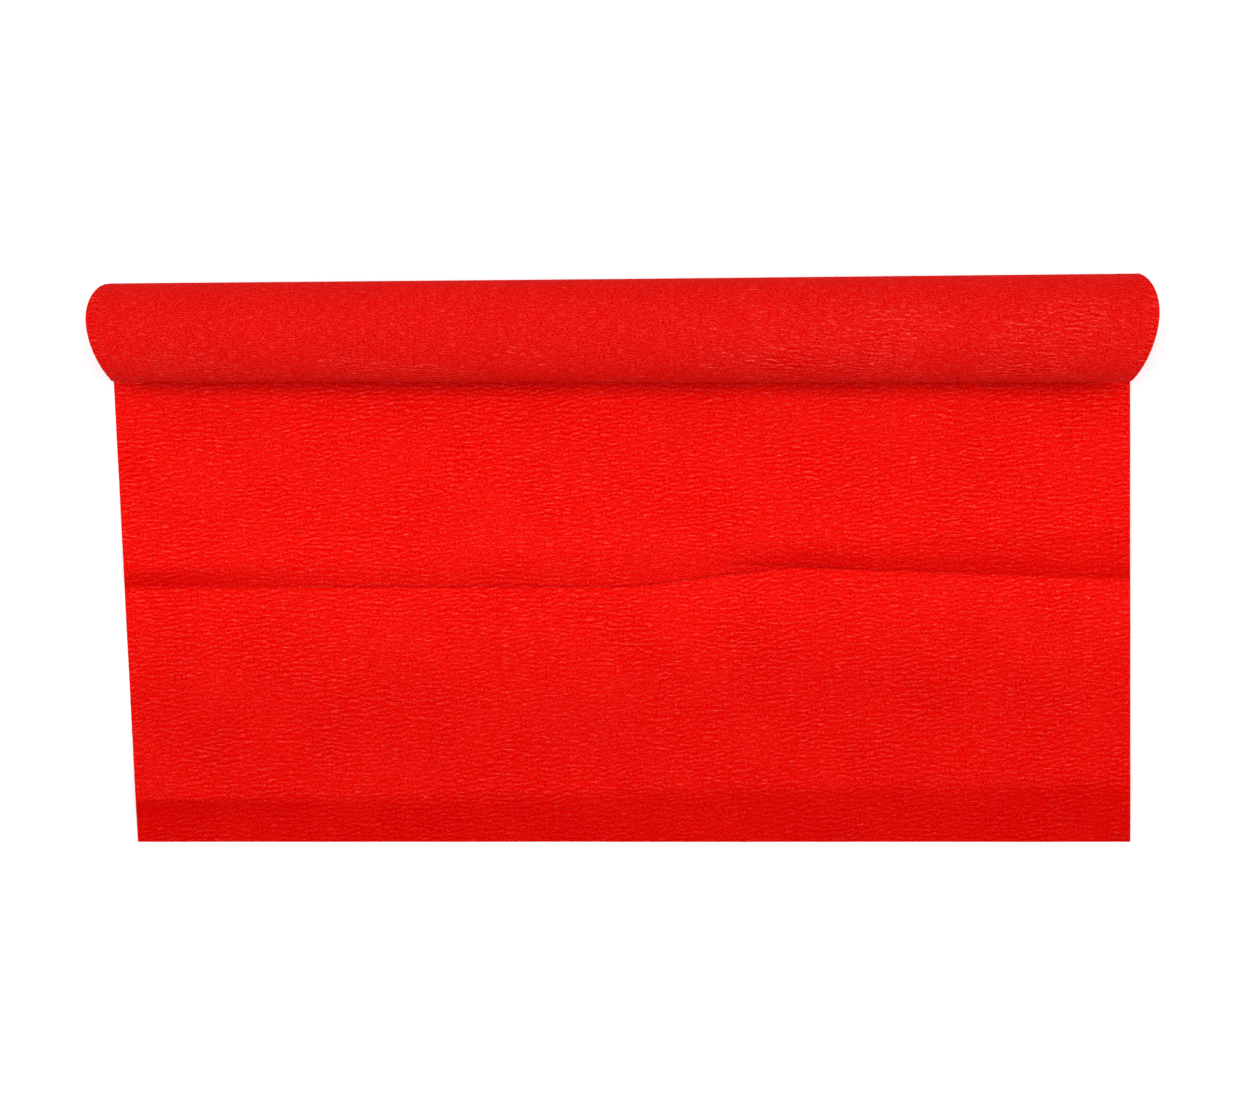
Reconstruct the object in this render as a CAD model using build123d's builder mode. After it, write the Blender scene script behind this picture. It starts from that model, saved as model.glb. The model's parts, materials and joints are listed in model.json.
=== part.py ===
from build123d import *
import os
from math import cos, radians, sin

os.makedirs("parts", exist_ok=True)

# A roll of crepe paper with its free end pulled out on a table. Millimetres and degrees.
# X runs along the roll, -Y points to the free edge, Z is up and the table is at Z = 0.
# The origin is on the table, under the middle of the whole object.

# Paper
paper_width = 500.0
paper_thickness = 0.45
laid_length = 250.0  # from the line under the roll's axis to the free edge
free_edge_taper = 12.0  # how much narrower the free edge is, all of it at the left edge
tail_under_roll = 5.0  # how far the near sheet runs on behind the line under the axis

# Folds across the laid paper, as distances from the line under the roll's axis
first_fold = 118.0
second_fold = 224.0
fold_gap = 0.4  # clear width between two panels at a fold, so that they can close

# Winding: the web goes under the roll, up its back and round, one pitch nearer each turn
roll_radius = 26.4
winding_pitch = 0.68
winding_turns = 17
web_end_angle = -30.0  # where the outer turn starts, from +Y towards +Z

# Lead: the stretch of web between the table and the outer turn
running_gap = 0.3  # clear of the outer turn and of the near sheet
lead_start_angle = -76.0

# Core tube and the double-sided tape that holds the web's inner end
core_bore_radius = 12.7
core_wall = 1.5
core_length = 486.0  # a little shorter than the paper, which overhangs it at both ends
tape_thickness = 0.15
tape_length = 480.0
tape_start_angle = -45.0
tape_end_angle = -5.0

# Worked out from the above
core_radius = core_bore_radius + core_wall
lead_outer_radius = roll_radius + running_gap + paper_thickness
axis_height = lead_outer_radius
axis_y = (laid_length - roll_radius) / 2
left_end = -paper_width / 2
right_end = paper_width / 2
roll_end_plane = Plane(
    origin=(left_end, axis_y, axis_height), x_dir=(0, 1, 0), z_dir=(1, 0, 0)
)
core_end_plane = roll_end_plane.offset((paper_width - core_length) / 2)
tape_end_plane = roll_end_plane.offset((paper_width - tape_length) / 2)


def left_edge(distance):
    """X of the paper's left edge at a distance from the line under the axis."""
    return left_end + free_edge_taper * max(distance, 0) / laid_length


def panel_corners(near, far):
    """Plan corners of the stretch of laid paper between two distances."""
    return [
        (left_edge(near), axis_y - near),
        (left_edge(far), axis_y - far),
        (right_end, axis_y - far),
        (right_end, axis_y - near),
    ]


def on_circle(centre_y, radius, angle):
    """Point in the roll's end plane, whose first axis is Y and second is Z."""
    return (centre_y + radius * cos(radians(angle)), radius * sin(radians(angle)))


# Near sheet: laid paper from under the roll to the first fold, with its left edge straight
# under the roll and slanting in from there
with BuildPart() as near_sheet:
    with BuildSketch(Plane.XY):
        with BuildLine():
            Polyline(
                (left_end, axis_y + tail_under_roll),
                *panel_corners(0, first_fold - fold_gap / 2),
                (right_end, axis_y + tail_under_roll),
                close=True,
            )
        make_face()
    extrude(amount=paper_thickness)
near_sheet.part.label = "near_sheet"
export_step(near_sheet.part, "parts/near_sheet.step")

# Middle panel: between the two folds
with BuildPart() as middle_panel:
    with BuildSketch(Plane.XY):
        with BuildLine():
            Polyline(
                *panel_corners(first_fold + fold_gap / 2, second_fold - fold_gap / 2),
                close=True,
            )
        make_face()
    extrude(amount=paper_thickness)
middle_panel.part.label = "middle_panel"
export_step(middle_panel.part, "parts/middle_panel.step")

# End flap: from the second fold to the free edge
with BuildPart() as end_flap:
    with BuildSketch(Plane.XY):
        with BuildLine():
            Polyline(
                *panel_corners(second_fold + fold_gap / 2, laid_length),
                close=True,
            )
        make_face()
    extrude(amount=paper_thickness)
end_flap.part.label = "end_flap"
export_step(end_flap.part, "parts/end_flap.step")

# Lead curl: web leaving the table and hugging the lower back of the roll
lead_sweep = web_end_angle - lead_start_angle
lead_inner_radius = lead_outer_radius - paper_thickness
with BuildPart() as lead_curl:
    with BuildSketch(roll_end_plane):
        with BuildLine():
            CenterArc((0, 0), lead_outer_radius, lead_start_angle, lead_sweep)
            Line(
                on_circle(0, lead_outer_radius, web_end_angle),
                on_circle(0, lead_inner_radius, web_end_angle),
            )
            CenterArc((0, 0), lead_inner_radius, web_end_angle, -lead_sweep)
            Line(
                on_circle(0, lead_inner_radius, lead_start_angle),
                on_circle(0, lead_outer_radius, lead_start_angle),
            )
        make_face()
    extrude(amount=paper_width)
lead_curl.part.label = "lead_curl"
export_step(lead_curl.part, "parts/lead_curl.step")

# Wound paper: a true spiral of half circles. Upper halves are centred on the axis and lower
# halves half a pitch in front of it, each half a pitch smaller than the one before, so the
# web keeps its thickness and its tangent all the way in.
half_turns = []
for index in range(2 * winding_turns):
    centre_y = 0 if index % 2 == 0 else -winding_pitch / 2
    outer_radius = roll_radius - index * winding_pitch / 2
    start_angle = web_end_angle if index == 0 else 180.0 * index
    sweep = 180.0 * (index + 1) - start_angle
    half_turns.append((centre_y, outer_radius, start_angle, sweep))

with BuildPart() as wound_paper:
    with BuildSketch(roll_end_plane):
        with BuildLine():
            for centre_y, outer_radius, start_angle, sweep in half_turns:
                inner_radius = outer_radius - paper_thickness
                CenterArc((centre_y, 0), outer_radius, start_angle, sweep)
                CenterArc((centre_y, 0), inner_radius, start_angle, sweep)
            Line(
                on_circle(0, roll_radius, web_end_angle),
                on_circle(0, roll_radius - paper_thickness, web_end_angle),
            )
            last_centre, last_radius, last_start, last_sweep = half_turns[-1]
            last_angle = last_start + last_sweep
            Line(
                on_circle(last_centre, last_radius, last_angle),
                on_circle(last_centre, last_radius - paper_thickness, last_angle),
            )
        make_face()
    extrude(amount=paper_width)
wound_paper.part.label = "wound_paper"
export_step(wound_paper.part, "parts/wound_paper.step")

# Core tube: plain spiral-wound board tube, open at both ends
with BuildPart() as core_tube:
    with BuildSketch(core_end_plane):
        Circle(core_radius)
        Circle(core_bore_radius, mode=Mode.SUBTRACT)
    extrude(amount=core_length)
core_tube.part.label = "core_tube"
export_step(core_tube.part, "parts/core_tube.step")

# Start tape: a thin strip on the core, under the web's inner end
tape_sweep = tape_end_angle - tape_start_angle
tape_radius = core_radius + tape_thickness
with BuildPart() as start_tape:
    with BuildSketch(tape_end_plane):
        with BuildLine():
            CenterArc((0, 0), tape_radius, tape_start_angle, tape_sweep)
            Line(
                on_circle(0, tape_radius, tape_end_angle),
                on_circle(0, core_radius, tape_end_angle),
            )
            CenterArc((0, 0), core_radius, tape_end_angle, -tape_sweep)
            Line(
                on_circle(0, core_radius, tape_start_angle),
                on_circle(0, tape_radius, tape_start_angle),
            )
        make_face()
    extrude(amount=tape_length)
start_tape.part.label = "start_tape"
export_step(start_tape.part, "parts/start_tape.step")

wound_length = sum(
    radians(sweep) * (outer_radius - paper_thickness / 2)
    for centre_y, outer_radius, start_angle, sweep in half_turns
)
lead_length = radians(90 + web_end_angle) * (lead_outer_radius - paper_thickness / 2)
print("wound length", round(wound_length), "mm")
print("whole web", round(wound_length + lead_length + laid_length), "mm")
print("axis at y", round(axis_y, 3), "z", round(axis_height, 3))
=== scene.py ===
import json
import math

import bmesh
import bpy
import numpy as np
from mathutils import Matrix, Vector


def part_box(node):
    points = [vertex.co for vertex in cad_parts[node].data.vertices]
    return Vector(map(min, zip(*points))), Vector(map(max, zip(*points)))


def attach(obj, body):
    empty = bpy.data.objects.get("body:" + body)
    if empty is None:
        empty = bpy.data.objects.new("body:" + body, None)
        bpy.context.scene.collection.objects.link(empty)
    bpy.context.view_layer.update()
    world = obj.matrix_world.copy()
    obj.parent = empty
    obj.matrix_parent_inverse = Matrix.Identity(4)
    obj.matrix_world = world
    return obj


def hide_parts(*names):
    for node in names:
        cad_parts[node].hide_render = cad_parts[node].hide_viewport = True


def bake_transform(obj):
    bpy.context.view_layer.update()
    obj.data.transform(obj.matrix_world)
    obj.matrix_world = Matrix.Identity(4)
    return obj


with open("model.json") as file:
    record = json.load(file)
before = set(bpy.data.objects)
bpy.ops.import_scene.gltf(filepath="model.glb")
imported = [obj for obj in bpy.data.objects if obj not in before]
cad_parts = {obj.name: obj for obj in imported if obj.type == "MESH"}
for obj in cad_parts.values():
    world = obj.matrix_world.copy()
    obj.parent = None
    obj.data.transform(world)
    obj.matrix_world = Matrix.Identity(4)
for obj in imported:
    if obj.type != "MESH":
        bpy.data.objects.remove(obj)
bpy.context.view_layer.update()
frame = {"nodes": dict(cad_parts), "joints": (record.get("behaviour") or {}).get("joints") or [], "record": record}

mm = 0.001
scene = bpy.context.scene

# places, all read from the CAD nodes and joints
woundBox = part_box("wound_paper")
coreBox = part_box("core_tube")
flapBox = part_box("end_flap")
joints = {joint["name"]: joint for joint in frame["joints"]}
leftEnd = woundBox[0].x
rightEnd = woundBox[1].x
paperWidth = rightEnd - leftEnd
axisY, axisZ = joints["roll_turn"]["pos_m"][1:]
rollRadius = woundBox[1].z - axisZ
laidLength = axisY - flapBox[0].y  # from the line under the roll to the free edge
leftSlant = (flapBox[0].x - leftEnd) / (axisY - flapBox[1].y)  # the left edge runs in by this much


def smooth(t):
    t = np.clip(t, 0, 1)
    return t * t * (3 - 2 * t)


def ramp(value, start, width):
    return smooth((value - start) / width)


def mix(a, b, t):
    return a + (b - a) * t


# one field of ridges for the whole web, so that the pieces match where they meet
crepe = {
    "thickness": 0.42 * mm,
    "columns": 226,  # mesh spacing across the web
    "laidRows": 500,  # and along it, on the laid length
    "leadRows": 21,
    "leadStart": 10,  # rows in front of the line under the roll
    "turnRows": 338,
    "ridgeHeight": 0.085 * mm,
    "fine": (2.3 * mm, 0.46, 3.6 * mm),  # pitch along the web, spread of pitches, length across it
    "coarse": (5.06 * mm, 0.4, 6.12 * mm),
    "coarseShare": 0.4,
    "slack": (70 * mm, 1.0, 40 * mm),  # where the crepe has been pulled flatter
    "slackShare": 0.28,
    "slackLimits": (0.4, 1.7),
    "sharpness": 0.5,  # the crests are sharper than the valleys
    "sharpMean": 1.13,
    "swellSize": (38 * mm, 75 * mm),  # slow waves, along and across
    "seed": 11,
}
rowPitch = laidLength / crepe["laidRows"]
across = np.linspace(0, 1, crepe["columns"] + 1)  # 0 at the left edge, 1 at the right
leadFirst = crepe["laidRows"] - crepe["leadStart"]
turnFirst = leadFirst + crepe["leadRows"]
webRows = turnFirst + crepe["turnRows"] + 1


def ridgeField():
    rng = np.random.default_rng(crepe["seed"])
    size = (webRows, crepe["columns"] + 1)
    along = np.abs(np.fft.fftfreq(size[0], rowPitch))[:, None]
    sideways = np.fft.rfftfreq(size[1], paperWidth / crepe["columns"])[None, :]

    def layer(pitch, spread, length):
        gain = np.exp(-(((along - 1 / pitch) * pitch / spread) ** 2) - (sideways * length) ** 2)
        field = np.fft.irfft2(np.fft.rfft2(rng.standard_normal(size)) * gain, size)
        return field / field.std()

    fine = layer(*crepe["fine"])
    coarse = layer(*crepe["coarse"])
    slack = layer(*crepe["slack"])
    strength = np.clip(1 + crepe["slackShare"] * slack, *crepe["slackLimits"])
    fine = np.exp(crepe["sharpness"] * fine) - crepe["sharpMean"]
    return (fine + crepe["coarseShare"] * coarse) * strength, fine * strength


def swellField():
    rng = np.random.default_rng(crepe["seed"] + 1)
    size = (webRows, crepe["columns"] + 1)
    along = np.fft.fftfreq(size[0], rowPitch)[:, None]
    sideways = np.fft.rfftfreq(size[1], paperWidth / crepe["columns"])[None, :]
    waveAlong, waveAcross = crepe["swellSize"]
    gain = np.exp(-((along * waveAlong) ** 2) - (sideways * waveAcross) ** 2)
    field = np.fft.irfft2(np.fft.rfft2(rng.standard_normal(size)) * gain, size)
    return field / field.std()


ridges, crests = ridgeField()  # the shape, and the finer part of it that catches the light
swell = swellField()
print("crepe field", ridges.shape)


# a grid moved into shape; points, plan and marks are rows by columns, and marks go to the material
def gridMesh(name, points, plan, marks):
    rows, columns = points.shape[:2]
    bm = bmesh.new()
    bmesh.ops.create_grid(bm, x_segments=columns - 1, y_segments=rows - 1, size=1)
    mesh = bpy.data.meshes.new(name)
    bm.to_mesh(mesh)
    bm.free()
    flat = np.empty(len(mesh.vertices) * 3)
    mesh.vertices.foreach_get("co", flat)
    flat = flat.reshape(-1, 3)
    column = np.rint((flat[:, 0] + 1) / 2 * (columns - 1)).astype(int)
    row = np.rint((flat[:, 1] + 1) / 2 * (rows - 1)).astype(int)
    mesh.vertices.foreach_set("co", points[row, column].ravel())
    corner = np.empty(len(mesh.loops), int)
    mesh.loops.foreach_get("vertex_index", corner)
    layer = mesh.uv_layers.new(name="webPlan")
    layer.data.foreach_set("uv", plan[row, column][corner].ravel())
    for attribute, values in marks.items():
        made = mesh.attributes.new(attribute, "FLOAT", "POINT")
        made.data.foreach_set("value", values[row, column].astype(np.float32))
    mesh.update()
    return mesh


def addPiece(name, mesh, material):
    piece = bpy.data.objects.new(name, mesh)
    scene.collection.objects.link(piece)
    mesh.materials.clear()
    mesh.materials.append(material)
    return piece


def applyModifiers(piece):
    graph = bpy.context.evaluated_depsgraph_get()
    graph.update()
    finished = bpy.data.meshes.new_from_object(piece.evaluated_get(graph))
    piece.modifiers.clear()
    old = piece.data
    piece.data = finished
    bpy.data.meshes.remove(old)


def closeShell(piece, sharpAngle=50):
    bm = bmesh.new()
    bm.from_mesh(piece.data)
    bmesh.ops.recalc_face_normals(bm, faces=bm.faces)
    bm.to_mesh(piece.data)
    bm.free()
    piece.data.shade_smooth()
    piece.data.set_sharp_from_angle(angle=math.radians(sharpAngle))


def thicken(piece, thickness, offset):
    solid = piece.modifiers.new("paper", "SOLIDIFY")
    solid.thickness = thickness
    solid.offset = offset
    solid.use_rim = True
    applyModifiers(piece)
    closeShell(piece)


def newMaterial(name):
    material = bpy.data.materials.new(name)
    material.use_nodes = True
    tree = material.node_tree
    tree.nodes.clear()
    output = tree.nodes.new("ShaderNodeOutputMaterial")
    shader = tree.nodes.new("ShaderNodeBsdfPrincipled")
    tree.links.new(shader.outputs[0], output.inputs[0])
    return material, tree, shader


def node(tree, kind, settings=None, inputs=None):
    made = tree.nodes.new(kind)
    for key, value in (settings or {}).items():
        setattr(made, key, value)
    for key, value in (inputs or {}).items():
        if isinstance(value, bpy.types.NodeSocket):
            tree.links.new(value, made.inputs[key])
        else:
            made.inputs[key].default_value = value
    return made


def stretched(tree, source, stretch):
    return node(tree, "ShaderNodeMapping", inputs={"Vector": source, "Scale": stretch}).outputs[0]


def noise(tree, vector, scale, detail=2, roughness=0.5):
    inputs = {"Vector": vector, "Scale": scale, "Detail": detail, "Roughness": roughness}
    return node(tree, "ShaderNodeTexNoise", inputs=inputs).outputs[0]


def remap(tree, value, low, high, toLow=0.0, toHigh=1.0):
    settings = {"interpolation_type": "SMOOTHSTEP"}
    inputs = {"Value": value, "From Min": low, "From Max": high, "To Min": toLow, "To Max": toHigh}
    return node(tree, "ShaderNodeMapRange", settings, inputs).outputs[0]


def blendColour(tree, factor, a, b, mode="MIX"):
    made = node(tree, "ShaderNodeMix", {"data_type": "RGBA", "blend_type": mode})
    for socket, value in ((made.inputs[0], factor), (made.inputs[6], a), (made.inputs[7], b)):
        if isinstance(value, bpy.types.NodeSocket):
            tree.links.new(value, socket)
        else:
            socket.default_value = value
    return made.outputs[2]


def calc(tree, operation, a, b):
    return node(tree, "ShaderNodeMath", {"operation": operation}, {0: a, 1: b}).outputs[0]


redLook = {
    "body": (0.873, 0.0030, 0.0003, 1),
    "deep": (0.82, 0.0019, 0.0002, 1),
    # valley: the colour of the painted shade in the crinkle hollows and between the finest crinkles
    "valley": (0.42, 0.0004, 0.0001, 1),
    "shade": (0.58, 0.17, 0.33, 1),  # painted shade colour: multiplies the red where painted shade is laid on
    # the colour of the painted highlights on the crinkle crests
    "streak": (0.92, 0.086, 0.072, 1),
    "cloudScale": 30,  # mottling a few centimetres across
    "fibreStretch": (900, 2400, 1),  # the finest crinkles
    "streakStretch": (210, 2200, 1),
    "hollowShare": 0.35,
    "streakShare": 0.80,
    "grainShare": 0.42,
    "grainHeight": 0.06 * mm,
    "specular": 0.006,
    "sheen": 0.003,
    "sheenRoughness": 0.4,
    "roughness": (0.6, 0.85),
}


def makeRedCrepe():
    material, tree, shader = newMaterial("redCrepe")
    plan = node(tree, "ShaderNodeUVMap", {"uv_map": "webPlan"}).outputs[0]
    crest = node(tree, "ShaderNodeAttribute", {"attribute_name": "crest"}).outputs["Fac"]
    cloud = noise(tree, plan, redLook["cloudScale"], 4, 0.6)
    fibre = noise(tree, stretched(tree, plan, redLook["fibreStretch"]), 1, 2, 0.6)
    streak = noise(tree, stretched(tree, plan, redLook["streakStretch"]), 1, 2, 0.6)
    colour = blendColour(tree, remap(tree, cloud, 0.3, 0.7), redLook["deep"], redLook["body"])
    # painted shade in the hollows between the crinkle crests
    hollowShade = remap(tree, crest, -1.3, -0.2, redLook["hollowShare"], 0.0)
    colour = blendColour(tree, hollowShade, colour, redLook["valley"])
    shadeOfFibre = remap(tree, fibre, 0.30, 0.62, 1.0, 0.0)
    colour = blendColour(tree, shadeOfFibre, colour, redLook["valley"])
    # painted shade: the red is multiplied darker past the crests, in the crease lines, through the middle of the
    # sheet and on the wound paper
    depth = node(tree, "ShaderNodeAttribute", {"attribute_name": "depth"}).outputs["Fac"]
    colour = blendColour(tree, depth, colour, redLook["shade"], "MULTIPLY")
    # painted highlights: thin pinkish streaks and fibre glints on the crinkle crests, cut where the painted shade
    # lies
    onCrest = remap(tree, crest, -0.6, 0.7)
    dull = node(tree, "ShaderNodeAttribute", {"attribute_name": "dull"}).outputs["Fac"]
    fibreGlint = calc(tree, "MULTIPLY", remap(tree, fibre, 0.42, 0.72), redLook["grainShare"])
    lit = calc(tree, "ADD", remap(tree, streak, 0.53, 0.74), fibreGlint)
    lit = calc(tree, "MULTIPLY", lit, onCrest)
    lit = calc(tree, "MULTIPLY", lit, calc(tree, "SUBTRACT", redLook["streakShare"], dull))
    colour = blendColour(tree, lit, colour, redLook["streak"])
    tree.links.new(colour, shader.inputs["Base Color"])
    rough = remap(tree, fibre, 0.3, 0.7, *redLook["roughness"])
    tree.links.new(rough, shader.inputs["Roughness"])
    shader.inputs["Specular IOR Level"].default_value = redLook["specular"]
    shader.inputs["Sheen Weight"].default_value = redLook["sheen"]
    shader.inputs["Sheen Roughness"].default_value = redLook["sheenRoughness"]
    inputs = {"Height": fibre, "Distance": redLook["grainHeight"], "Strength": 1.0}
    bump = node(tree, "ShaderNodeBump", inputs=inputs)
    tree.links.new(bump.outputs[0], shader.inputs["Normal"])
    return material


boardLook = {
    "light": (0.42, 0.27, 0.145, 1),
    "dark": (0.27, 0.16, 0.08, 1),
    "fleck": (0.16, 0.09, 0.045, 1),
    "fibreStretch": (90, 900, 900),
    "cloudScale": 60,
    "fleckScale": 1400,
    "fibreHeight": 0.08 * mm,
    "specular": 0.25,
}


def makeKraftBoard():
    material, tree, shader = newMaterial("kraftBoard")
    place = node(tree, "ShaderNodeTexCoord").outputs["Object"]
    fibres = noise(tree, stretched(tree, place, boardLook["fibreStretch"]), 1, 4, 0.65)
    cloud = noise(tree, place, boardLook["cloudScale"], 3, 0.6)
    flecks = noise(tree, place, boardLook["fleckScale"], 1, 0.5)
    mottle = remap(tree, cloud, 0.3, 0.7)
    colour = blendColour(tree, mottle, boardLook["dark"], boardLook["light"])
    darkFibre = remap(tree, fibres, 0.35, 0.7, 0.0, 0.35)
    colour = blendColour(tree, darkFibre, colour, boardLook["dark"])
    spots = remap(tree, flecks, 0.68, 0.74, 0.0, 0.7)
    colour = blendColour(tree, spots, colour, boardLook["fleck"])
    tree.links.new(colour, shader.inputs["Base Color"])
    tree.links.new(remap(tree, fibres, 0.2, 0.8, 0.75, 0.95), shader.inputs["Roughness"])
    shader.inputs["Specular IOR Level"].default_value = boardLook["specular"]
    inputs = {"Height": fibres, "Distance": boardLook["fibreHeight"], "Strength": 1.0}
    bump = node(tree, "ShaderNodeBump", inputs=inputs)
    tree.links.new(bump.outputs[0], shader.inputs["Normal"])
    return material


tapeLook = {
    "dark": (0.72, 0.68, 0.58, 1),
    "light": (0.84, 0.80, 0.70, 1),
    "cloudScale": 220,
    "roughness": (0.35, 0.5),
    "bumpHeight": 0.02 * mm,
}


def makeTape():
    material, tree, shader = newMaterial("paleTape")
    place = node(tree, "ShaderNodeTexCoord").outputs["Object"]
    cloud = noise(tree, place, tapeLook["cloudScale"], 3, 0.6)
    colour = blendColour(tree, cloud, tapeLook["dark"], tapeLook["light"])
    tree.links.new(colour, shader.inputs["Base Color"])
    rough = remap(tree, cloud, 0.3, 0.7, *tapeLook["roughness"])
    tree.links.new(rough, shader.inputs["Roughness"])
    inputs = {"Height": cloud, "Distance": tapeLook["bumpHeight"], "Strength": 1.0}
    bump = node(tree, "ShaderNodeBump", inputs=inputs)
    tree.links.new(bump.outputs[0], shader.inputs["Normal"])
    return material


redCrepe = makeRedCrepe()
kraftBoard = makeKraftBoard()
paleTape = makeTape()
print("materials ready")

roll = {
    "leftRadius": 23.8 * mm,  # wound tighter at the left end
    "leftShift": (-2.4 * mm, -1.6 * mm),  # and its middle sits forward and lower there
    "shiftCurve": 0.7,
    "shift": -0.2 * mm,  # the whole roll leans this far forward
    "coreRadius": coreBox[1].z - axisZ,
    "slack": 0.35 * mm,  # between the core and the first turn
    "pitch": 0.68 * mm,
    "turns": 16,
    "woundThickness": 0.34 * mm,
    "startAngle": -84.0,  # of the outer turn, from +Y towards +Z
    "turnSweep": 366.0,
    "endRecess": 6.4 * mm,  # how far the turns stand inside the full width
    "flareOut": 0.0025,  # share of the width gained where the outer turn flares
    "flareAngle": 75.0,  # where the outer turn reaches its full width
    "flareFall": (100.0, 105.0),  # and how many degrees it takes to fall, above and below
    "tuck": 0.35 * mm,  # the outer turn's valleys lie this far inside the full radius
    "highest": 2.4,  # its tallest crests, in ridge heights
    "swell": 0.14 * mm,
    "swellLimit": 0.6,
    "leadGap": 0.55 * mm,  # by its end the lead has moved this much further from the roll's axis
    "leadCrest": 0.02 * mm,  # and its crests are kept low where the roll turns over them
    "leadCrestRise": 0.068,
    "insideColumns": 13,
    "endEdge": 0.6 * mm,
    "depth": 0.38,  # painted shade: the wound paper is painted a little darker red
    "dull": -0.35,  # and its painted highlight streaks are brighter
}

folds = {
    "firstHeight": 4.2 * mm,
    "secondHeight": 4.8 * mm,
    "firstRise": 55 * mm,  # the paper starts to lift this far before the first crest
    "secondRise": 45 * mm,
    "riseCurve": 1.3,
    "leftDrop": 1.5,
    "rightDrop": 2.0,
    "secondDrop": (0.55, 1.0),  # from the left edge to this share of the width
    "secondDropWidth": 0.625,
    "grooveDepth": 0.35 * mm,
    "grooveWidth": 0.9 * mm,
    "base": 0.16 * mm,  # the paper's lift off the table, under its crinkles
    "swell": 0.12 * mm,
    "swellLevel": 2.2,
    "swellStart": (12 * mm, 40 * mm),
    "narrowing": 0.5,  # this share of the roll's end recess is taken up before the line under the roll
    "narrowingLength": 24 * mm,
    "spread": (1.2 * mm, 0.4 * mm),  # added to its width, left and right, before it slants and narrows
    "drawIn": 1.05,  # per metre of lift: a crest takes up a little of the paper's width
    "clearance": 0.03 * mm,  # nothing goes lower than this over the table
}
# distances from the line under the roll, and how far each line moves on its way to the right
creases = {
    "firstCrest": (115.7 * mm, 96.7 * mm),
    "leftValley": (124.3 * mm, 9.5 * mm),
    "rightValley": (112.5 * mm, 7.4 * mm),
    "secondCrest": (228.9 * mm, 10 * mm),
    "leftBend": (0.48, 0.2),  # shares of the width: where it starts, and over how much
    "secondBend": (-0.05, 0.95),
    "rightBend": (0.6, 0.4),
    "rightCurve": 0.8,
    "leftFades": (0.60, 0.09),  # the first crease splits in two right of the middle
    "rightAppears": (0.585, 0.07),
    "partsMeet": (0.57, 0.11),
}
# painted shade: how much darker the red is painted past each crest, on the side that faces the free edge, where
# the paper turns from the light
paintedShadeAmounts = {
    "band": 0.39,
    "bandStart": (-4 * mm, 7 * mm),
    "bandEnd": 2.5 * mm,
    "bandFirst": 0.45,
    "bandNear": (-10 * mm, 6 * mm),
    "bandPale": 0.6,  # the painted shade is lighter from near the left edge to the split
    "paleFrom": (0.08, 0.12),  # shares of the width: where it starts, and over how much
    "paleTo": (0.56, 0.12),
    "valleyChange": 0.66,
    "flap": 0.54,
    "flapRise": (2.5 * mm, 9.0 * mm),
    "flapRiseWidth": 1 / 3,
    "flapStart": -1 * mm,
    "flapCorner": 0.55,  # the painted shade is deepest by the left edge, just past the second crest
    "cornerWidth": 0.3,
    "cornerEnd": (5 * mm, 9 * mm),
    # painted shade: the middle of the sheet is painted darker than the part near the roll
    "middle": 0.32,
    "middleLength": 70 * mm,
    "line": 0.75,  # and painted shade in the lines of the first crease
    "lineWidth": 0.42 * mm,
    "leftFrom": (0.05, 0.2),
    "leftTo": (0.60, 0.1),
    "rightFrom": (0.59, 0.04),
    "rightTo": (0.66, 0.25),
    "rightFade": 0.75,
    "bandDull": 0.45,  # fewer painted highlights show there
    "flapDull": 0.5,
    "middleDull": 0.22,
}
seams = {"nearMiddle": 320, "middleEnd": 160}  # rows where one laid piece meets the next


# a soft rise to the crest and a drop to the valley, as paper lies after a fold has been opened
def ridgeProfile(distance, crest, valley, height, rise, drop):
    up = ramp(distance, crest - rise, rise) ** folds["riseCurve"]
    down = 1 - np.clip((distance - crest) / (valley - crest), 0, 1) ** drop
    return height * np.where(distance < crest, up, down)


def groove(distance, line, share):
    return -folds["grooveDepth"] * share * np.exp(-(((distance - line) / folds["grooveWidth"]) ** 2))


def creaseLines(u):  # u runs 0 to 1 from left to right
    crest = mix(*creases["firstCrest"], u)
    start, moves = creases["leftValley"]
    leftValley = start - moves * ramp(u, *creases["leftBend"])
    start, moves = creases["rightValley"]
    bend, width = creases["rightBend"]
    rightValley = start + moves * np.clip((u - bend) / width, 0, 1) ** creases["rightCurve"]
    start, moves = creases["secondCrest"]
    secondCrest = start - moves * ramp(u, *creases["secondBend"])
    return crest, leftValley, rightValley, secondCrest


# height of the paper's top face over the table, without its crinkles
def lift(distance, u):
    crest, leftValley, rightValley, secondCrest = creaseLines(u)
    leftShare = 1 - ramp(u, *creases["leftFades"])
    rightShare = ramp(u, *creases["rightAppears"])
    leftPart = 1 - ramp(u, *creases["partsMeet"])
    first = folds["firstHeight"], folds["firstRise"]
    second = folds["secondHeight"], folds["secondRise"]
    z = leftPart * ridgeProfile(distance, crest, leftValley, *first, folds["leftDrop"])
    z = z + (1 - leftPart) * ridgeProfile(distance, crest, rightValley, *first, folds["rightDrop"])
    z = z + groove(distance, leftValley, leftShare) + groove(distance, rightValley, rightShare)
    secondDrop = mix(*folds["secondDrop"], ramp(u, 0, folds["secondDropWidth"]))
    z = z + ridgeProfile(distance, secondCrest, laidLength, *second, secondDrop)
    return z + crepe["thickness"] + folds["base"]


# painted shade past each crest, through the middle of the sheet and in the first crease's lines, and how much the
# painted highlights are cut there
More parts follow.
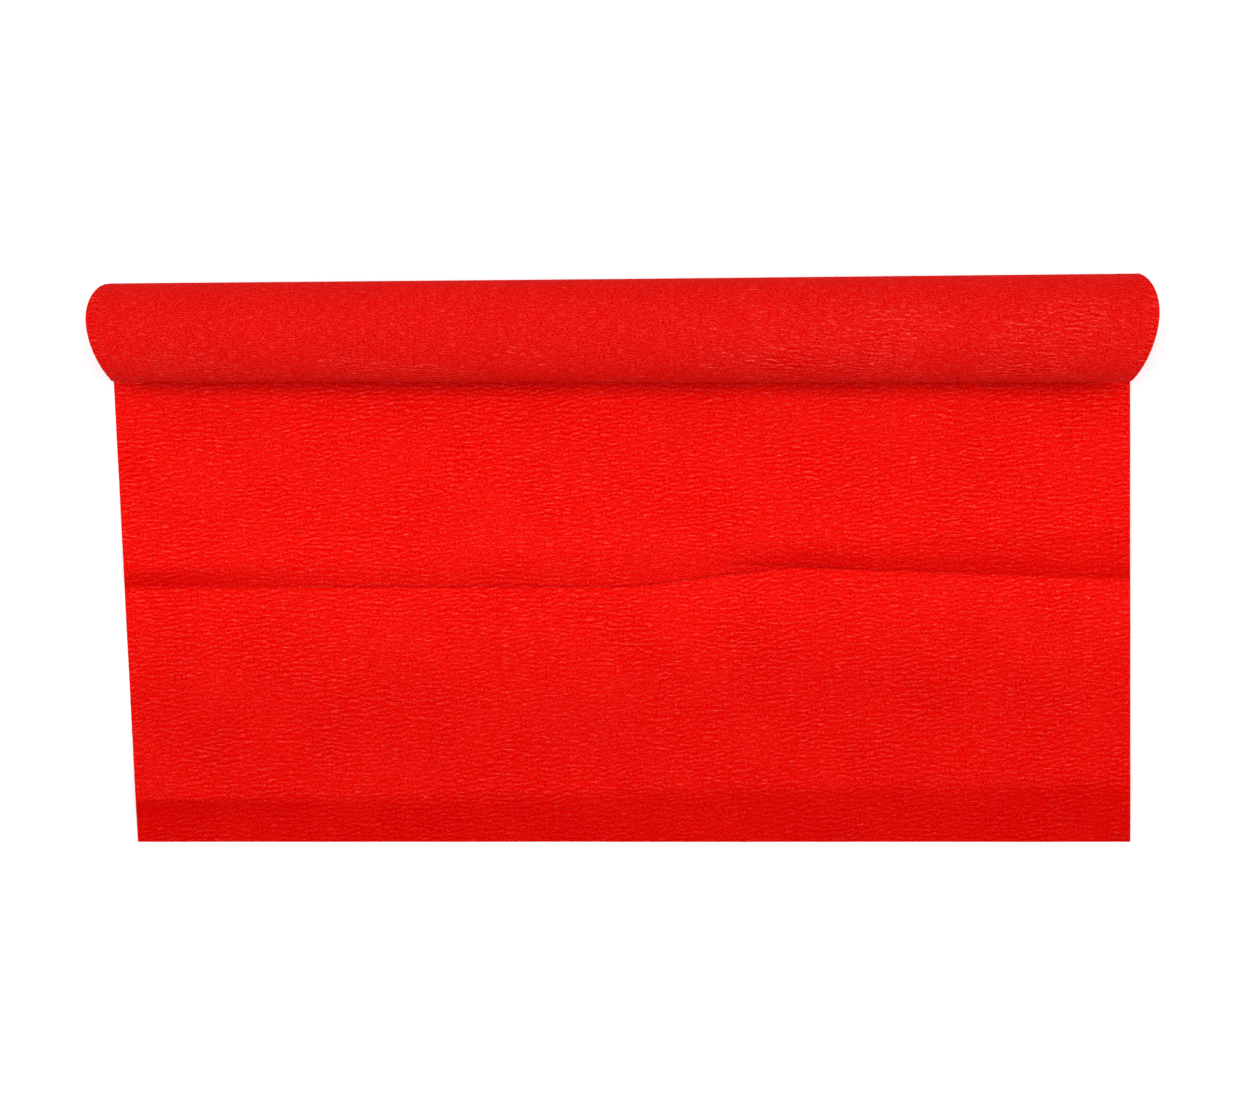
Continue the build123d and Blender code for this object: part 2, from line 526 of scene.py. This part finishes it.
def shadeAndHighlightCut(distance, u):
    crest, leftValley, rightValley, secondCrest = creaseLines(u)
    valley = np.where(u < paintedShadeAmounts["valleyChange"], leftValley, rightValley)
    start, rise = paintedShadeAmounts["bandStart"]
    band = ramp(distance, crest + start, rise) * (1 - ramp(distance, valley, paintedShadeAmounts["bandEnd"]))
    start, rise = paintedShadeAmounts["bandNear"]
    band = band * mix(paintedShadeAmounts["bandFirst"], 1, ramp(distance, valley + start, rise))
    pale = ramp(u, *paintedShadeAmounts["paleFrom"]) * (1 - ramp(u, *paintedShadeAmounts["paleTo"]))
    band = band * (1 - paintedShadeAmounts["bandPale"] * pale)
    rise = mix(*paintedShadeAmounts["flapRise"], ramp(u, 0, paintedShadeAmounts["flapRiseWidth"]))
    flap = ramp(distance, secondCrest + paintedShadeAmounts["flapStart"], rise)
    start, rise = paintedShadeAmounts["cornerEnd"]
    corner = 1 - ramp(u, 0, paintedShadeAmounts["cornerWidth"])
    corner = corner * (1 - ramp(distance, secondCrest + start, rise))
    flap = flap * (1 + paintedShadeAmounts["flapCorner"] * corner)
    middle = ramp(distance, valley, paintedShadeAmounts["middleLength"]) * (1 - flap)
    first = np.exp(-(((distance - leftValley) / paintedShadeAmounts["lineWidth"]) ** 2))
    first = first * ramp(u, *paintedShadeAmounts["leftFrom"]) * (1 - ramp(u, *paintedShadeAmounts["leftTo"]))
    second = np.exp(-(((distance - rightValley) / paintedShadeAmounts["lineWidth"]) ** 2))
    second = second * ramp(u, *paintedShadeAmounts["rightFrom"])
    second = second * (1 - paintedShadeAmounts["rightFade"] * ramp(u, *paintedShadeAmounts["rightTo"]))
    depth = paintedShadeAmounts["band"] * band + paintedShadeAmounts["flap"] * flap + paintedShadeAmounts["middle"] * middle
    dull = paintedShadeAmounts["bandDull"] * band + paintedShadeAmounts["flapDull"] * flap + paintedShadeAmounts["middleDull"] * middle
    return depth + paintedShadeAmounts["line"] * np.maximum(first, second), dull


# the web's left and right edges; curled runs 0 to 1 along the lead, from the table to the roll
def sideEdges(distance, curled):
    slant = leftSlant + folds["spread"][0] / laidLength
    left = leftEnd - folds["spread"][0] * (1 - curled) + slant * distance
    right = rightEnd + folds["spread"][1] * (1 - curled)
    share = folds["narrowing"] * (1 - smooth(distance / folds["narrowingLength"]))
    inward = roll["endRecess"] * mix(share, 1.0, curled)
    return left + inward, right - inward


def laidPoints(firstRow, lastRow):
    row = np.arange(firstRow, lastRow + 1)
    distance = laidLength - row * rowPitch  # from the line under the roll
    distance, u = np.meshgrid(distance, across, indexing="ij")
    x = mix(*sideEdges(distance, 0), u)
    rows = slice(firstRow, lastRow + 1)
    wave = folds["swell"] * (folds["swellLevel"] + swell[rows])
    z = lift(distance, u) + ridges[rows] * crepe["ridgeHeight"]
    z = z + wave * ramp(distance, *folds["swellStart"])
    z = np.maximum(z, crepe["thickness"] + folds["clearance"])
    x = x * (1 - (lift(distance, u) - lift(0 * distance, u)) * folds["drawIn"])
    points = np.stack([x, axisY - distance, z], axis=2)
    plan = np.stack([u * paperWidth, row[:, None] * rowPitch + 0 * u], axis=2)
    # painted shade past the crests, and fewer painted highlights there
    depth, dull = shadeAndHighlightCut(distance, u)
    return points, plan, {"crest": crests[rows], "depth": depth, "dull": dull}


def makeLaid(name, firstRow, lastRow):
    piece = addPiece(name, gridMesh(name, *laidPoints(firstRow, lastRow)), redCrepe)
    thicken(piece, crepe["thickness"], -1)
    return piece


nearLaid = makeLaid("nearLaidPaper", seams["nearMiddle"], leadFirst)
middleLaid = makeLaid("middleLaidPaper", seams["middleEnd"], seams["nearMiddle"])
endLaid = makeLaid("endLaidPaper", 0, seams["middleEnd"])
print("laid paper made")

innerRadius = roll["coreRadius"] + roll["slack"]


def rightness(x):
    return np.clip((x - leftEnd) / paperWidth, 0, 1)


# a radius as wound at the right end, squeezed for the tighter left end
def stackRadius(radius, x):
    squeeze = (roll["leftRadius"] - innerRadius) / (rollRadius - innerRadius)
    return innerRadius + (radius - innerRadius) * mix(squeeze, 1.0, rightness(x))


# a point at that angle and radius; the middle shifts by share, 0 at the core and 1 at the outside
def onRoll(x, angle, radius, share):
    turned = np.radians(angle)
    shift = (1 - rightness(x)) * share
    forward = roll["shift"] * share + roll["leftShift"][0] * shift ** roll["shiftCurve"]
    y = axisY + forward + radius * np.cos(turned)
    z = axisZ + roll["leftShift"][1] * shift + radius * np.sin(turned)
    return np.stack([x, y, z], axis=-1)


# 1 where the outer turn is at its widest and 0 where it is level with the turns inside it
def flare(angle):
    fromTop = angle - roll["flareAngle"]
    above, below = roll["flareFall"]
    return 1 - smooth(np.where(fromTop > 0, fromTop / above, -fromTop / below))


def makeLead():
    rows = slice(leadFirst, turnFirst + 1)
    row = np.arange(leadFirst, turnFirst + 1)
    along, u = np.meshgrid(row * rowPitch - laidLength, across, indexing="ij")
    distance = np.maximum(-along, 0)  # still flat on the table in front of the line under the roll
    turned = np.maximum(along, 0) / rollRadius  # and curling up behind it
    reached = turned / turned.max()
    curled = smooth(reached)
    x = mix(*sideEdges(distance, curled), u)
    top = lift(distance, u) + ridges[rows] * crepe["ridgeHeight"]
    highest = lift(distance, u) + roll["leadCrest"] + roll["leadCrestRise"] * distance
    top = np.minimum(top, highest)
    top = np.maximum(top, crepe["thickness"] + folds["clearance"])
    radius = axisZ - top + roll["leadGap"] * reached**2
    y = axisY - distance + radius * np.sin(turned)
    points = np.stack([x, y, axisZ - radius * np.cos(turned)], axis=2)
    plan = np.stack([u * paperWidth, row[:, None] * rowPitch + 0 * u], axis=2)
    # painted shade grows as the lead curls onto the roll
    marks = {"crest": crests[rows], "depth": roll["depth"] * curled}
    piece = addPiece("leadPaper", gridMesh("leadPaper", points, plan, marks), redCrepe)
    thicken(piece, crepe["thickness"], -1)
    return piece


def outerRadius(angle):
    return rollRadius - roll["pitch"] * (angle - roll["startAngle"]) / 360


def makeOuterTurn():
    rows = slice(turnFirst, webRows)
    row = np.arange(turnFirst, webRows)
    part = np.minimum(ridges[rows], roll["highest"])
    t, u = np.meshgrid((row - turnFirst) / crepe["turnRows"], across, indexing="ij")
    angle = roll["startAngle"] + roll["turnSweep"] * t
    recess = roll["endRecess"] * (1 - flare(angle))
    x = mix(leftEnd + recess, rightEnd - recess, u)
    x = x * (1 + roll["flareOut"] * flare(angle))
    slack = roll["swell"] * np.minimum(swell[rows], roll["swellLimit"])
    radius = stackRadius(outerRadius(angle), x) - roll["tuck"] + slack
    outside = onRoll(x, angle, radius + part * crepe["ridgeHeight"], 1.0)
    plan = np.stack([u * paperWidth, row[:, None] * rowPitch + 0 * u], axis=2)
    level = 0 * t
    # painted shade on the wound paper, and brighter painted highlights
    marks = {"crest": crests[rows], "depth": roll["depth"] + level, "dull": roll["dull"] + level}
    outsideMesh = gridMesh("outerTurn", outside, plan, marks)
    few = np.linspace(0, crepe["columns"], roll["insideColumns"]).astype(int)  # it is never seen
    innerFace = onRoll(x, angle, radius - crepe["thickness"], 1.0)[:, few]
    insideMarks = {mark: values[:, few] for mark, values in marks.items()}
    insideMesh = gridMesh("outerTurnInside", innerFace, plan[:, few], insideMarks)
    bm = bmesh.new()
    bm.from_mesh(outsideMesh)
    bm.from_mesh(insideMesh)
    sides = {"left": [], "right": []}
    for edge in [e for e in bm.edges if e.is_boundary]:
        a, b = edge.verts
        if abs(a.co.x - b.co.x) < roll["endEdge"]:  # runs along the web, so on an end of the roll
            sides["left" if a.co.x < 0 else "right"].append(edge)
    for edges in sides.values():
        bmesh.ops.bridge_loops(bm, edges=edges)
    rest = [e for e in bm.edges if e.is_boundary]
    bmesh.ops.holes_fill(bm, edges=rest, sides=0)
    bmesh.ops.recalc_face_normals(bm, faces=bm.faces)
    bm.to_mesh(outsideMesh)
    bm.free()
    bpy.data.meshes.remove(insideMesh)
    piece = addPiece("outerTurn", outsideMesh, redCrepe)
    closeShell(piece)
    return piece


inside = {
    "perTurn": 84,  # mesh rows
    "overlap": 6,  # degrees shared with the outer turn
    "wobble": (0.16 * mm, 0.11 * mm),  # two waves and five waves a turn
    "wobbleTwist": (0.35, -0.5),
    "across": (0, 0.006, 0.02, 0.5, 0.98, 0.994, 1.0),
    "fade": 1.6,  # turns over which the outer turn's flare dies out
    "flareShare": 0.55,
    "step": 0.4 * mm,  # the ends stand this far inside the outer turn's
    "slowWander": (0.35 * mm, 30),  # how far the ends wander, and every how many rows
    "quickWander": (0.10 * mm, 2),
}


def makeInnerTurns():
    rng = np.random.default_rng(crepe["seed"] + 2)
    rows = roll["turns"] * inside["perTurn"] + 1
    first = roll["startAngle"] + roll["turnSweep"] - inside["overlap"]
    angle = first + np.arange(rows) * 360 / inside["perTurn"]
    turn = (angle - angle[0]) / 360
    done = turn / roll["turns"]
    radius = mix(rollRadius - roll["pitch"], innerRadius + roll["woundThickness"], done)
    radians = np.radians(angle)
    wobble = inside["wobble"][0] * np.sin(2 * radians + inside["wobbleTwist"][0] * turn)
    wobble = wobble + inside["wobble"][1] * np.sin(5 * radians + inside["wobbleTwist"][1] * turn)
    wobble = wobble * np.sin(np.pi * np.clip(done, 0.02, 0.98))
    spread = np.array(inside["across"])

    def wander(amount, every):
        knots = rng.standard_normal(rows // every + 2)
        return np.interp(np.arange(rows), np.arange(len(knots)) * every, knots) * amount

    flared = inside["flareShare"] * np.exp(-turn / inside["fade"]) * flare(angle % 360)
    recess = roll["endRecess"] * (1 - flared) + inside["step"]
    recessRight = recess + wander(*inside["slowWander"]) + wander(*inside["quickWander"])
    recessLeft = recess + wander(*inside["slowWander"]) + wander(*inside["quickWander"])
    x = mix((leftEnd + recessLeft)[:, None], (rightEnd - recessRight)[:, None], spread[None, :])
    level = 0 * x
    share = ((radius - innerRadius) / (rollRadius - innerRadius))[:, None]
    points = onRoll(x, angle[:, None] + level, stackRadius((radius + wobble)[:, None], x), share)
    steps = np.diff(radians) * (radius[1:] + radius[:-1]) / 2
    length = webRows * rowPitch + np.concatenate([[0], np.cumsum(steps)])
    plan = np.stack([spread * paperWidth + level, length[:, None] + level], axis=2)
    # painted shade on the inner turns, as on the outer turn
    marks = {"crest": level, "depth": roll["depth"] + level}
    piece = addPiece("innerTurns", gridMesh("innerTurns", points, plan, marks), redCrepe)
    thicken(piece, roll["woundThickness"], -1)
    return piece


lead = makeLead()
outerTurn = makeOuterTurn()
innerTurns = makeInnerTurns()
print("roll made")

tube = {
    "plies": 3,
    "plyGap": (0.05 * mm, 0.25 * mm),  # half the width and the depth of the line between two plies
    "rimSegments": 96,
    "rings": 90,
    "seamPitch": 62 * mm,
    "seamStep": 0.12 * mm,
    "seamSharpness": 14,
}


def makeCore():
    boreRadius = frame["record"]["mounts"][0]["dims"]["r_mm"] * mm
    outside = roll["coreRadius"]
    left, right = coreBox[0].x, coreBox[1].x
    stations = [(right - left) * i / tube["rings"] for i in range(tube["rings"] + 1)]
    bore = [(left + station, boreRadius) for station in stations]
    skin = [(right - station, outside) for station in stations]
    rightRim, leftRim = [], []
    half, deep = tube["plyGap"]
    for ply in range(1, tube["plies"]):
        r = boreRadius + (outside - boreRadius) * ply / tube["plies"]
        for dr, dx in ((-half, 0), (0, deep), (half, 0)):
            rightRim.append((right - dx, r + dr))
            leftRim.append((left + dx, r + dr))
    ring = bore + rightRim + skin + leftRim[::-1]
    bm = bmesh.new()
    verts = [bm.verts.new((x, axisY + r, axisZ)) for x, r in ring]
    edges = [bm.edges.new((verts[i - 1], verts[i])) for i in range(len(verts))]
    bmesh.ops.spin(
        bm,
        geom=verts + edges,
        cent=(0, axisY, axisZ),
        axis=(1, 0, 0),
        angle=math.radians(360),
        steps=tube["rimSegments"],
        use_merge=True,
    )
    bmesh.ops.remove_doubles(bm, verts=bm.verts, dist=0.005 * mm)
    bmesh.ops.recalc_face_normals(bm, faces=bm.faces)
    for vert in bm.verts:  # the board strip's edge runs round the tube as a shallow helical step
        spoke = Vector((0, vert.co.y - axisY, vert.co.z - axisZ))
        angle = math.atan2(spoke.z, spoke.y) / math.tau
        along = (vert.co.x / tube["seamPitch"] + angle) % 1
        step = tube["seamStep"] * (1 - min(along * tube["seamSharpness"], 1))
        spoke *= 1 - step / spoke.length
        vert.co = Vector((vert.co.x, axisY, axisZ)) + spoke
    mesh = bpy.data.meshes.new("kraftCore")
    bm.to_mesh(mesh)
    bm.free()
    piece = addPiece("kraftCore", mesh, kraftBoard)
    mesh.shade_smooth()
    mesh.set_sharp_from_angle(angle=math.radians(40))
    return piece


kraftCore = makeCore()
tape = frame["nodes"]["start_tape"]
tape.data.materials.clear()
tape.data.materials.append(paleTape)
print("core made")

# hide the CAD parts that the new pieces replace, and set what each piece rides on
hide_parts("near_sheet")
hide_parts("middle_panel")
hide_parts("end_flap")
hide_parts("lead_curl")
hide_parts("wound_paper")
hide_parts("wound_paper")
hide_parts("core_tube")
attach(lead, "lead")
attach(outerTurn, "roll")
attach(innerTurns, "roll")
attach(kraftCore, "roll")
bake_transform(nearLaid)
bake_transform(middleLaid)
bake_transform(endLaid)

studio = {
    "floor": (0.97, 0.97, 0.97, 1),
    "floorDim": (0.95545, 0.95545, 0.95545, 1),
    "floorHalf": 4,
    "floorRoughness": 0.9,
    "floorSpecular": 0.1,
    "fill": 0.73,
    "keyPower": 15.0,
    "keyPlace": (0.0, 0.14, 1.3),
    "keySize": (2.2, 0.5),
    "cameraHeight": 0.9493,
    "cameraPlace": (1.7 * mm, 0.5 * mm),
    "lens": 55.5,
    "sensor": 36,
}


def makeStudio():
    bm = bmesh.new()
    bmesh.ops.create_grid(bm, x_segments=4, y_segments=4, size=studio["floorHalf"])
    mesh = bpy.data.meshes.new("tableTop")
    bm.to_mesh(mesh)
    bm.free()
    material, tree, shader = newMaterial("paleTable")
    place = node(tree, "ShaderNodeTexCoord").outputs["Object"]
    cloud = noise(tree, place, 6, 2, 0.5)
    colour = blendColour(tree, cloud, studio["floorDim"], studio["floor"])
    tree.links.new(colour, shader.inputs["Base Color"])
    shader.inputs["Roughness"].default_value = studio["floorRoughness"]
    shader.inputs["Specular IOR Level"].default_value = studio["floorSpecular"]
    floor = addPiece("tableTop", mesh, material)
    world = bpy.data.worlds.new("studio")
    scene.world = world
    world.use_nodes = True
    background = world.node_tree.nodes["Background"]
    background.inputs["Color"].default_value = (1, 1, 1, 1)
    background.inputs["Strength"].default_value = studio["fill"]
    light = bpy.data.lights.new("softKey", "AREA")
    light.energy = studio["keyPower"]
    light.shape = "RECTANGLE"
    light.size, light.size_y = studio["keySize"]
    key = bpy.data.objects.new("softKey", light)
    scene.collection.objects.link(key)
    key.location = studio["keyPlace"]
    key.rotation_euler = (-Vector(studio["keyPlace"])).to_track_quat("-Z", "Y").to_euler()
    camera = bpy.data.objects.new("camera", bpy.data.cameras.new("camera"))
    scene.collection.objects.link(camera)
    camera.data.sensor_width = studio["sensor"]
    camera.data.lens = studio["lens"]
    camera.location = (*studio["cameraPlace"], studio["cameraHeight"])
    scene.camera = camera
    scene.view_settings.view_transform = "Standard"


makeStudio()
print("studio ready")
